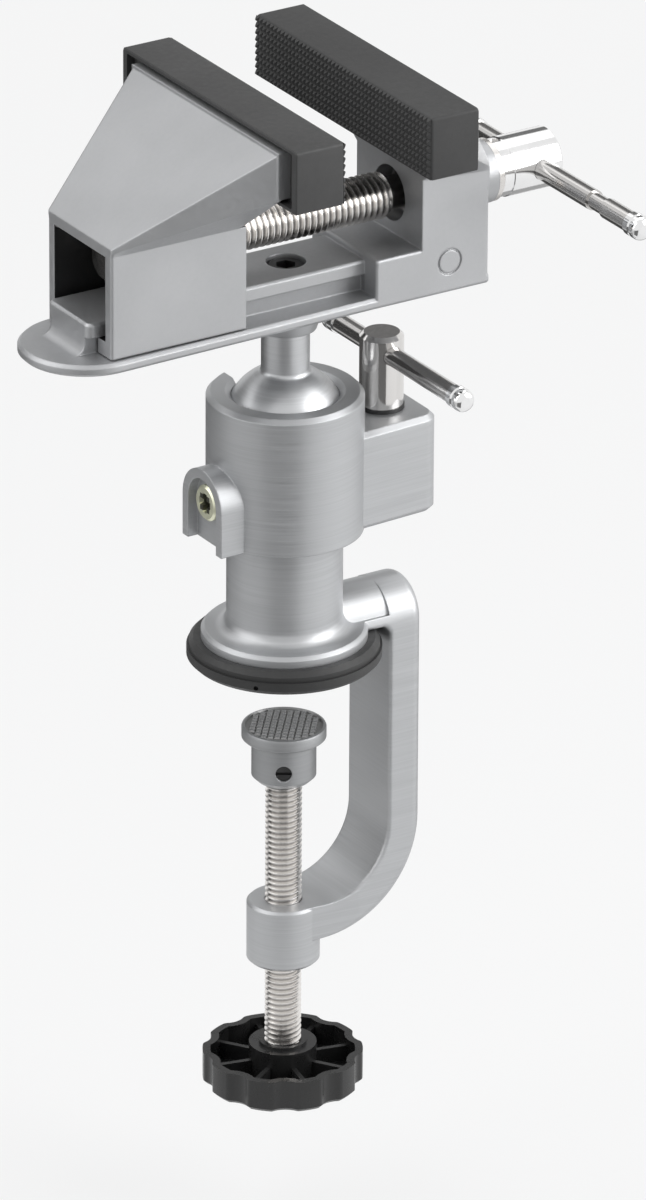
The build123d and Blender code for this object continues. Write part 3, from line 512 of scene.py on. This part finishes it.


# Numbers are the grey, the roughness and then the metallic share or the marks' frequencies.
# body casting with painted shade in the rail's channel
BODY_CAST = cast_metal("cast_silver_rail_shaded", RAIL_CHANNEL_SHADE)
# jaw casting with painted shade inside its hollow core
JAW_CAST = cast_metal("cast_silver_core_shaded", JAW_CORE_SHADE)
TURNED = turned_metal("turned_silver", 0.47, 0.44, 0.8)
STUD = turned_metal("turned_steel", 0.56, 0.4, 1.0)
PAD_METAL = turned_metal("pad_silver", 0.34, 0.45, 0.8)
CHROME = bright_steel("chrome", 0.86, 0.10, (160, 160, 160))
BAR_CHROME = bright_steel("bar_chrome", 0.58, 0.14, (2600, 40, 2600), warm=0.02)
POST_CHROME = bright_steel("post_chrome", 0.72, 0.12, (900, 900, 60), warm=0.02)
# both threads with painted shade in their grooves
VISE_THREAD = thread_nickel("thread_nickel_vise_shaded", VISE_GROOVE_SHADE)
CLAMP_NICKEL = thread_nickel("thread_nickel_clamp_shaded", CLAMP_GROOVE_SHADE)
ZINC = bright_steel("zinc_plated", 0.72, 0.28, (500, 500, 500), warm=0.03)
# yellowed zinc screw head, with painted shade in its cross recess
CROSS_HEAD = bright_steel(
    "zinc_yellowed_cross_shaded", 0.74, 0.36, (500, 500, 500), warm=0.12, green=0.13, shaded_recess=CROSS_RECESS_SHADE
)
BLACKED = bright_steel("blacked_steel", 0.07, 0.42, (500, 500, 500))
BRASS = bright_steel("brass", 0.55, 0.3, (600, 600, 600), warm=0.28)
# darker steel that paints shade on the pad's groove faces
PAD_GROOVE_SHADE = bright_steel("pad_groove_shade", 0.34, 0.5, (900, 900, 900))
COVER_RUBBER = rubber("cover_rubber", 0.036, 0.044, 0.55)
RING_RUBBER = rubber("ring_rubber", 0.026, 0.036, 0.5)
KNOB = gloss_plastic()
ACETAL = satin_plastic()

NODE_MATERIALS = {
    "clamp_frame": TURNED,
    "ball_socket": TURNED,
    "vise_body": BODY_CAST,
    "moving_jaw": JAW_CAST,
    "table_ring": RING_RUBBER,
    "clamp_knob": KNOB,
    "pad_grub_screw": BLACKED,
    "column_bush": ACETAL,
    "ball_seat": ACETAL,
    "friction_screw": CROSS_HEAD,
    "lock_pin": BRASS,
    "clamp_post": POST_CHROME,
    "post_washer": BLACKED,
    "post_clip": BLACKED,
    "clamp_bar": BAR_CHROME,
    "clamp_bar_caps": CHROME,
    "ball_stud": STUD,
    "stud_bolt": BLACKED,
    "stud_washer": ZINC,
    "jaw_nut": BRASS,
    "thrust_washer": ZINC,
    "screw_head": CHROME,
    "head_pin": ZINC,
    "screw_bar": BAR_CHROME,
    "screw_bar_caps": CHROME,
}


def finish_cad_nodes():
    """Gives every CAD node that stays in view its procedural finish."""
    for name, material in NODE_MATERIALS.items():
        for slot in frame["nodes"][name].material_slots:
            slot.material = material


# ---------------------------------------------------------------- threads
def vise_screw():
    bm = bmesh.new()
    add_thread(bm, **SCREW_THREAD)
    add_turned(bm, SCREW_SHAFT)
    along_x = Matrix.Translation((0, 0, SCREW_AXIS_Z)) @ Matrix.Rotation(pi / 2, 4, "Y")
    bmesh.ops.transform(bm, matrix=along_x, verts=bm.verts)
    piece("lead_screw_thread", bm, "vise_screw", "plated_steel", VISE_THREAD, "lead_screw")


def table_screw():
    bm = bmesh.new()
    add_thread(bm, **CLAMP_THREAD)
    add_turned(bm, CLAMP_PIN)
    piece("clamp_screw_thread", bm, "clamp_screw", "plated_steel", CLAMP_NICKEL, "clamp_screw")


# ---------------------------------------------------------------- jaw covers
def rounded_rectangle(x, half, low, high, radius):
    """Ring of points in a YZ plane."""
    points = []
    centres = [(half - radius, high - radius), (radius - half, high - radius)]
    centres += [(radius - half, low + radius), (half - radius, low + radius)]
    for quarter, (y, z) in enumerate(centres):
        for i in range(CORNER_STEPS + 1):
            turn = (quarter + i / CORNER_STEPS) * pi / 2
            points.append((x, y + radius * cos(turn), z + radius * sin(turn)))
    return points


def add_studs(bm, x, half, low, high):
    """Rows of blunt pyramids on the cover's working face."""
    width = 2 * half / STUD_COLUMNS
    height = (high - low) / STUD_ROWS
    foot = (x - STUD_ROOT, width / 2 - STUD_VALLEY, height / 2 - STUD_VALLEY)
    tip = (x + STUD_HEIGHT, STUD_TIP, STUD_TIP)
    for column in range(STUD_COLUMNS):
        for row in range(STUD_ROWS):
            y = -half + (column + 0.5) * width
            z = low + (row + 0.5) * height
            rings = [[(at, y + p * a, z + q * b) for a, b in CORNERS] for at, p, q in (foot, tip)]
            add_rings(bm, rings)


def jaw_cover(name, body, node, x, low, side):
    """Moulded rubber cover: hollow from behind, with rounded edges and a studded face."""
    bm = bmesh.new()
    half, top = COVER_LENGTH / 2, low + COVER_HEIGHT
    face = COVER_DEPTH - STUD_HEIGHT
    rings = []
    for step in range(COVER_ROUND_STEPS + 1):
        turn = step / COVER_ROUND_STEPS * pi / 2
        inset = COVER_ROUND * (1 - sin(turn))
        depth = face - COVER_ROUND * (1 - cos(turn))
        rings.append(rounded_rectangle(depth, half - inset, low + inset, top - inset, COVER_ROUND))
    edge = COVER_BACK_EDGE
    rings.append(rounded_rectangle(edge, half, low, top, COVER_ROUND))
    rings.append(rounded_rectangle(0.0, half - edge, low + edge, top - edge, COVER_ROUND))
    mouth = (half - COVER_END_LIP, low + COVER_LIP, top - COVER_LIP, COVER_MOUTH_CORNER)
    rings += [rounded_rectangle(depth, *mouth) for depth in (0.0, COVER_RECESS)]
    plate_low = low + (COVER_HEIGHT - JAW_PLATE["height"]) / 2
    plate_high = plate_low + JAW_PLATE["height"]
    pocket = (JAW_PLATE["half"], plate_low, plate_high, JAW_PLATE["corner"])
    rings += [rounded_rectangle(depth, *pocket) for depth in (COVER_RECESS, JAW_PLATE["reach"])]
    add_rings(bm, rings)
    add_studs(bm, face, half - STUD_MARGIN, low + STUD_MARGIN, top - STUD_MARGIN)
    facing = Matrix.Translation((x, 0, 0)) @ Matrix.Rotation(0 if side > 0 else pi, 4, "Z")
    bmesh.ops.transform(bm, matrix=facing, verts=bm.verts)
    piece(name, bm, body, "jaw_rubber", COVER_RUBBER, node)


# ---------------------------------------------------------------- pressure pad
def pad_outline(field, floor_z):
    """Half section from the bore's roof round the outside to the floor of the hatched field."""
    radius, top, hub, bottom = PAD["radius"], PAD["top"], PAD["hub"], PAD["bottom"]
    under = top - PAD["disc"]
    return [
        (PAD["bore"], PAD["roof"]),
        (PAD["bore"], bottom),
        (hub - PAD_HUB_CHAMFER, bottom),
        (hub, bottom + PAD_HUB_CHAMFER),
        (hub, under - PAD_HUB_FILLET),
        (hub + PAD_HUB_FILLET, under),
        (radius - PAD_UNDER_EDGE, under),
        (radius, under + PAD_UNDER_EDGE),
        (radius, top - PAD_TOP_EDGE),
        (radius - PAD_TOP_EDGE_MIDDLE, top - PAD_TOP_EDGE_MIDDLE),
        (radius - PAD_TOP_EDGE, top),
        (field, top),
        (field - PAD_RIM_SLOPE, floor_z),
    ]


def grub_drill():
    """Countersunk hole of the set screw, from inside the bore to beyond the hub."""
    hub = PAD["hub"]
    outline = [
        (GRUB_HOLE, PAD["bore"] - GRUB_START),
        (GRUB_HOLE, hub - GRUB_RIM),
        (GRUB_HOLE + 2 * GRUB_RIM, hub + GRUB_RIM),
    ]
    drill = bmesh.new()
    add_turned(drill, outline, GRUB_STEPS)
    turn = Matrix.Rotation(radians(GRUB_AZIMUTH), 4, "Z") @ Matrix.Rotation(pi / 2, 4, "Y")
    bmesh.ops.transform(drill, matrix=Matrix.Translation((0, 0, GRUB_Z)) @ turn, verts=drill.verts)
    return drill


def square(x, y, half, z):
    """Ring of four points in a level plane."""
    return [(x + half * a, y + half * b, z) for a, b in CORNERS]


def hatch_mesh(field, floor_z):
    """Blunt squares that stand on the field's floor, in rows across the pad."""
    bm = bmesh.new()
    half = HATCH_PITCH / 2
    reach = int(field / HATCH_PITCH) + 1
    for i in range(-reach, reach):
        for j in range(-reach, reach):
            x, y = (i + 0.5) * HATCH_PITCH, (j + 0.5) * HATCH_PITCH
            if hypot(x, y) + half * HATCH_CLEAR > field:
                continue
            foot = square(x, y, half * HATCH_FOOT, floor_z - HATCH_ROOT)
            add_rings(bm, [foot, square(x, y, HATCH_TIP * HATCH_PITCH, PAD["top"])])
    turn = Matrix.Rotation(radians(HATCH_TURN), 3, "Z")
    bmesh.ops.rotate(bm, cent=(0, 0, 0), matrix=turn, verts=bm.verts)
    bmesh.ops.recalc_face_normals(bm, faces=bm.faces)
    mesh = bpy.data.meshes.new("squares")
    bm.to_mesh(mesh)
    bm.free()
    return mesh


def pressure_pad():
    """Pad with a hatched field inside a plain rim, a hub and the hole of its set screw."""
    field = PAD["radius"] - PAD_RIM
    floor_z = PAD["top"] - HATCH_DEPTH
    bm = bmesh.new()
    add_turned(bm, pad_outline(field, floor_z), PAD_STEPS)
    bm = cut(bm, grub_drill())
    squares = hatch_mesh(field, floor_z)
    bm.from_mesh(squares)
    bpy.data.meshes.remove(squares)
    obj = piece("pressure_pad_hatched", bm, "pad", "cast_grey", PAD_METAL, "pressure_pad")
    # painted shade: the groove faces between the squares take the darker steel
    obj.data.materials.append(PAD_GROOVE_SHADE)
    groove_shade_low, groove_shade_high = floor_z - GROOVE_SHADE_REACH[0], PAD["top"] - GROOVE_SHADE_REACH[1]
    for face in obj.data.polygons:
        x, y, z = face.center / MM
        if hypot(x, y) < field and groove_shade_low < z < groove_shade_high:
            face.material_index = 1


# ---------------------------------------------------------------- studio
def toward(azimuth, elevation):
    """Unit vector from the object to a place round it."""
    a, e = radians(azimuth), radians(elevation)
    return Vector((sin(a) * cos(e), -cos(a) * cos(e), sin(e)))


def flat_color(value):
    return (value, value, value, 1)


def bare_tree(owner):
    """Empty node tree of a material or a world."""
    owner.use_nodes = True
    owner.node_tree.nodes.clear()
    return owner.node_tree


def end_tree(tree, kind, shader):
    """Leads a shader to the output."""
    add_node(tree, kind, Surface=shader.outputs[0])


def mix_shaders(tree, factor, first, second):
    made = tree.nodes.new("ShaderNodeMixShader")
    for value, socket in zip((factor, first.outputs[0], second.outputs[0]), made.inputs):
        connect(tree, value, socket)
    return made


def direct_rays(tree):
    """1 for rays of the camera and of reflections and refractions."""
    path = tree.nodes.new("ShaderNodeLightPath")
    total = path.outputs["Is Camera Ray"]
    for name in ("Is Glossy Ray", "Is Transmission Ray"):
        total = scalar(tree, "MAXIMUM", total, path.outputs[name])
    return total


def paper_material():
    """White paper: it glows for direct rays and is a plain floor for all others.

    Near the object the glow is weaker and the lit floor shows too, with the object's shadow."""
    material = bpy.data.materials.new("paper")
    tree = bare_tree(material)
    lit = add_node(tree, "ShaderNodeBsdfDiffuse", Color=flat_color(FLOOR_COLOR))
    glow = add_node(tree, "ShaderNodeEmission", Color=flat_color(PAPER_WHITE))
    fade = map_range(tree, length(tree, object_space(tree)), *PAPER_FADE)
    share = scalar(tree, "MULTIPLY", direct_rays(tree), fade)
    end_tree(tree, "ShaderNodeOutputMaterial", mix_shaders(tree, share, lit, glow))
    return material


def floor():
    half = FLOOR_SIZE / 2
    mesh = bpy.data.meshes.new("floor")
    mesh.from_pydata(square(0, 0, half, cad_low.z - FLOOR_DROP), [], [(0, 1, 2, 3)])
    mesh.materials.append(paper_material())
    obj = link_object("floor", mesh)


def world():
    """Soft room light, with the white backdrop for direct rays."""
    made = bpy.data.worlds.new("studio")
    bpy.context.scene.world = made
    tree = bare_tree(made)
    room = add_node(tree, "ShaderNodeBackground", Color=ROOM_COLOR, Strength=ROOM_STRENGTH)
    backdrop = add_node(tree, "ShaderNodeBackground", Color=flat_color(PAPER_WHITE))
    end_tree(tree, "ShaderNodeOutputWorld", mix_shaders(tree, direct_rays(tree), room, backdrop))


def softbox(name, azimuth, elevation, distance, width, height, power):
    """Area light that faces the object."""
    data = bpy.data.lights.new(name, "AREA")
    data.shape = "RECTANGLE"
    data.size, data.size_y, data.energy = width, height, power
    obj = link_object(name, data)
    aim = toward(azimuth, elevation)
    obj.location = cad_middle + aim * distance
    obj.rotation_euler = aim.to_track_quat("Z", "Y").to_euler()
    obj.visible_camera = False


def glossy_card(name, points, tone):
    """Plain card that only reflections see, to draw the darker tones that bright metal shows."""
    mesh = bpy.data.meshes.new(name)
    mesh.from_pydata(points, [], [tuple(range(len(points)))])
    material = bpy.data.materials.new(name)
    tree = bare_tree(material)
    glow = add_node(tree, "ShaderNodeEmission", Color=flat_color(tone))
    end_tree(tree, "ShaderNodeOutputMaterial", glow)
    mesh.materials.append(material)
    obj = link_object(name, mesh)
    obj.visible_camera = False
    obj.visible_diffuse = False
    obj.visible_shadow = False


def floor_flag(name, azimuth, spread, near, far, tone):
    """Level card round the object, at the height of its foot, that reads as a darker floor."""
    turns = [radians(azimuth - spread + 2 * spread * i / FLAG_STEPS) for i in range(FLAG_STEPS + 1)]
    ring = [(near * sin(a), -near * cos(a), cad_low.z) for a in turns]
    ring += [(far * sin(a), -far * cos(a), cad_low.z) for a in reversed(turns)]
    glossy_card(name, ring, tone)


def high_flag(name, azimuth, elevation, distance, width, height, tone):
    """Card that stands round the object and faces it."""
    aim = toward(azimuth, elevation)
    side = Vector((cos(radians(azimuth)), sin(radians(azimuth)), 0))
    rise = aim.cross(side)
    centre = cad_middle + aim * distance
    points = [centre + side * width / 2 * a + rise * height / 2 * b for a, b in CORNERS]
    glossy_card(name, points, tone)


def camera():
    back = toward(CAMERA_AZIMUTH, CAMERA_ELEVATION)
    right = (-back).cross(Vector((0, 0, 1))).normalized()
    up = right.cross(-back)
    roll = radians(CAMERA_ROLL)
    side = cos(roll) * right + sin(roll) * up
    rise = -sin(roll) * right + cos(roll) * up
    data = bpy.data.cameras.new("camera")
    data.sensor_fit = "AUTO"
    data.sensor_width = SENSOR
    data.lens = FOCAL_PIXELS * SENSOR / PHOTO_HEIGHT
    data.clip_end = CAMERA_CLIP
    obj = link_object("camera", data)
    place = back * CAMERA_DISTANCE + side * CAMERA_SIDE + rise * CAMERA_RISE
    turn = Matrix((side, rise, back)).transposed().to_4x4()
    obj.matrix_world = Matrix.Translation(place * MM) @ turn
    bpy.context.scene.camera = obj


finish_cad_nodes()
vise_screw()
table_screw()
jaw_cover("moving_jaw_cover_studded", "slide", "moving_jaw_cover", **MOVING_COVER)
jaw_cover("fixed_jaw_cover_studded", "vise", "fixed_jaw_cover", **FIXED_COVER)
pressure_pad()

floor()
world()
for lamp in LAMPS:
    softbox(*lamp)
for flag in FLOOR_FLAGS:
    floor_flag(*flag)
for flag in HIGH_FLAGS:
    high_flag(*flag)
camera()

bpy.context.scene.view_settings.view_transform = "Standard"
